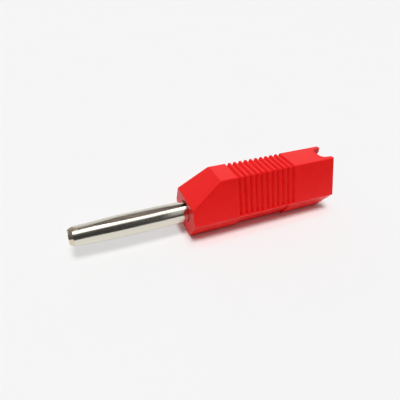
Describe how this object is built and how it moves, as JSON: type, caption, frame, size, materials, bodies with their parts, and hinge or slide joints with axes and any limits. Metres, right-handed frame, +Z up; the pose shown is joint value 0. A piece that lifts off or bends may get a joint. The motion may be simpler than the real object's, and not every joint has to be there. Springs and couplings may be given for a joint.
{
  "type": "banana plug",
  "caption": "Moulded banana plug with a sloping nose, ribbed grip and notched open rear end, a rolled spring pin for a 4 mm socket and a cage clamp for the wire.",
  "frame": {"origin": "middle of the plug's length and width, on the plane of the flat underside", "axes": "-X along the pin towards its tip, +X towards the open wire end, +Z up from the underside"},
  "size_m": [0.053, 0.01, 0.0115],
  "materials": {
    "red_plastic": "satin moulded plastic",
    "nickel_plate": "bright nickel plating on rolled brass sheet",
    "spring_steel": "rolled stainless spring strip"
  },
  "bodies": {
    "root": {"insulating_body": "red_plastic", "contact_pin": "nickel_plate", "clamp_spring": "spring_steel"}
  },
  "joints": []
}
